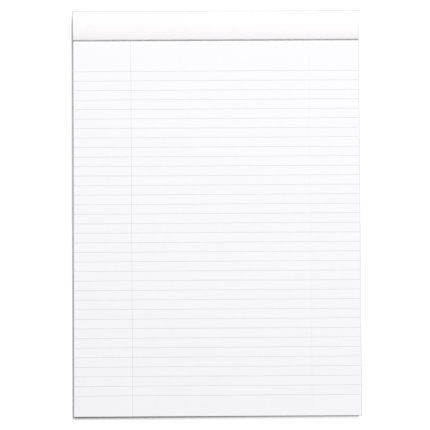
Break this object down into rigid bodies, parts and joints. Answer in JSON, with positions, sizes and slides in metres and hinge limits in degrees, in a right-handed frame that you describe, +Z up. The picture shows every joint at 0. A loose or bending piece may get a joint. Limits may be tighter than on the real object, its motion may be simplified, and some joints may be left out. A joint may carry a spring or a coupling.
{
  "type": "legal pad",
  "caption": "Head-stapled pad of ruled white sheets on a grey board, its white card cover folded right back behind it.",
  "frame": {"origin": "on the table, under the middle of the pad", "axes": "+X across the pad to its right edge, +Y to the stapled head, +Z up out of the writing face"},
  "size_m": [0.21, 0.297, 0.0126],
  "materials": {
    "paper": "uncoated white writing paper",
    "board": "plain grey board",
    "card": "smooth white card",
    "wire": "galvanised wire"
  },
  "bodies": {
    "pad": {"page_block": "paper", "backing_board": "board", "cover_wrap": "card", "staple_left": "wire", "staple_right": "wire"},
    "cover": {"front_cover": "card"}
  },
  "joints": [
    {"name": "cover_swing", "type": "hinge", "parent": "pad", "child": "cover", "pos_m": [0, 0.14833, 0.00017], "axis": [1, 0, 0], "range_deg": [0, 180]}
  ]
}
